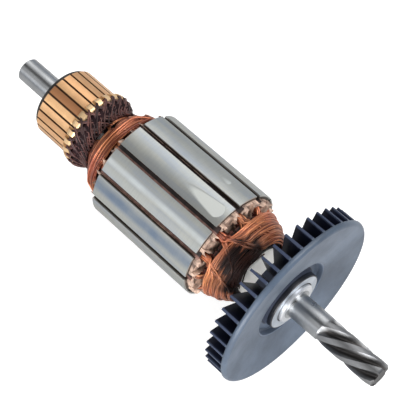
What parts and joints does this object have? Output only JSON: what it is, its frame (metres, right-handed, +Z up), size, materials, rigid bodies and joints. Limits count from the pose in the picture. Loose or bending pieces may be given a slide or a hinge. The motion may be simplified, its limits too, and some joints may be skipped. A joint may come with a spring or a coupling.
{
  "type": "motor armature",
  "caption": "Wound universal-motor armature on a steel shaft: hooked commutator, slotted lamination core with copper winding, finned plastic cooling fan and a cut helical pinion",
  "frame": {"origin": "on the shaft's axis, at the shoulder of the drive bearing seat", "axes": "+X along the shaft towards the pinion, +Z up, +Y to the left when one looks along +X; the armature has no preferred way up"},
  "size_m": [0.1482, 0.0586, 0.0586],
  "materials": {
    "shaft_steel": "ground steel, grey on the cut teeth",
    "core_steel": "stacked electrical steel, turned on the outside",
    "sleeve_plastic": "white moulded nylon",
    "slot_paper": "tan pressed fibre sheet",
    "slot_wedge_fibre": "brown vulcanised fibre",
    "winding_copper": "enamelled copper wire, varnished",
    "lead_varnish": "copper leads under dark impregnating varnish",
    "commutator_copper": "bare hard-drawn copper, turned",
    "hub_moulding": "black moulding compound",
    "fan_plastic": "slate blue-grey glass-filled nylon",
    "bush_metal": "turned light alloy",
    "collar_metal": "bright turned steel"
  },
  "bodies": {
    "root": {"shaft": "shaft_steel", "lamination_core": "core_steel", "insulating_sleeve": "sleeve_plastic", "drive_end_washer": "slot_paper", "rear_end_washer": "slot_paper", "slot_liner_01": "slot_paper", "slot_liner_02": "slot_paper", "slot_liner_03": "slot_paper", "slot_liner_04": "slot_paper", "slot_liner_05": "slot_paper", "slot_liner_06": "slot_paper", "slot_liner_07": "slot_paper", "slot_liner_08": "slot_paper", "slot_liner_09": "slot_paper", "slot_liner_10": "slot_paper", "slot_liner_11": "slot_paper", "slot_liner_12": "slot_paper", "slot_wedges": "slot_wedge_fibre", "coil_01": "winding_copper", "coil_02": "winding_copper", "coil_03": "winding_copper", "coil_04": "winding_copper", "coil_05": "winding_copper", "coil_06": "winding_copper", "coil_07": "winding_copper", "coil_08": "winding_copper", "coil_09": "winding_copper", "coil_10": "winding_copper", "coil_11": "winding_copper", "coil_12": "winding_copper", "coil_leads": "lead_varnish", "commutator_hub": "hub_moulding", "commutator_bar_01": "commutator_copper", "commutator_bar_02": "commutator_copper", "commutator_bar_03": "commutator_copper", "commutator_bar_04": "commutator_copper", "commutator_bar_05": "commutator_copper", "commutator_bar_06": "commutator_copper", "commutator_bar_07": "commutator_copper", "commutator_bar_08": "commutator_copper", "commutator_bar_09": "commutator_copper", "commutator_bar_10": "commutator_copper", "commutator_bar_11": "commutator_copper", "commutator_bar_12": "commutator_copper", "commutator_bar_13": "commutator_copper", "commutator_bar_14": "commutator_copper", "commutator_bar_15": "commutator_copper", "commutator_bar_16": "commutator_copper", "commutator_bar_17": "commutator_copper", "commutator_bar_18": "commutator_copper", "commutator_bar_19": "commutator_copper", "commutator_bar_20": "commutator_copper", "commutator_bar_21": "commutator_copper", "commutator_bar_22": "commutator_copper", "commutator_bar_23": "commutator_copper", "commutator_bar_24": "commutator_copper", "fan": "fan_plastic", "fan_bush": "bush_metal", "spacer_collar": "collar_metal"}
  },
  "joints": []
}
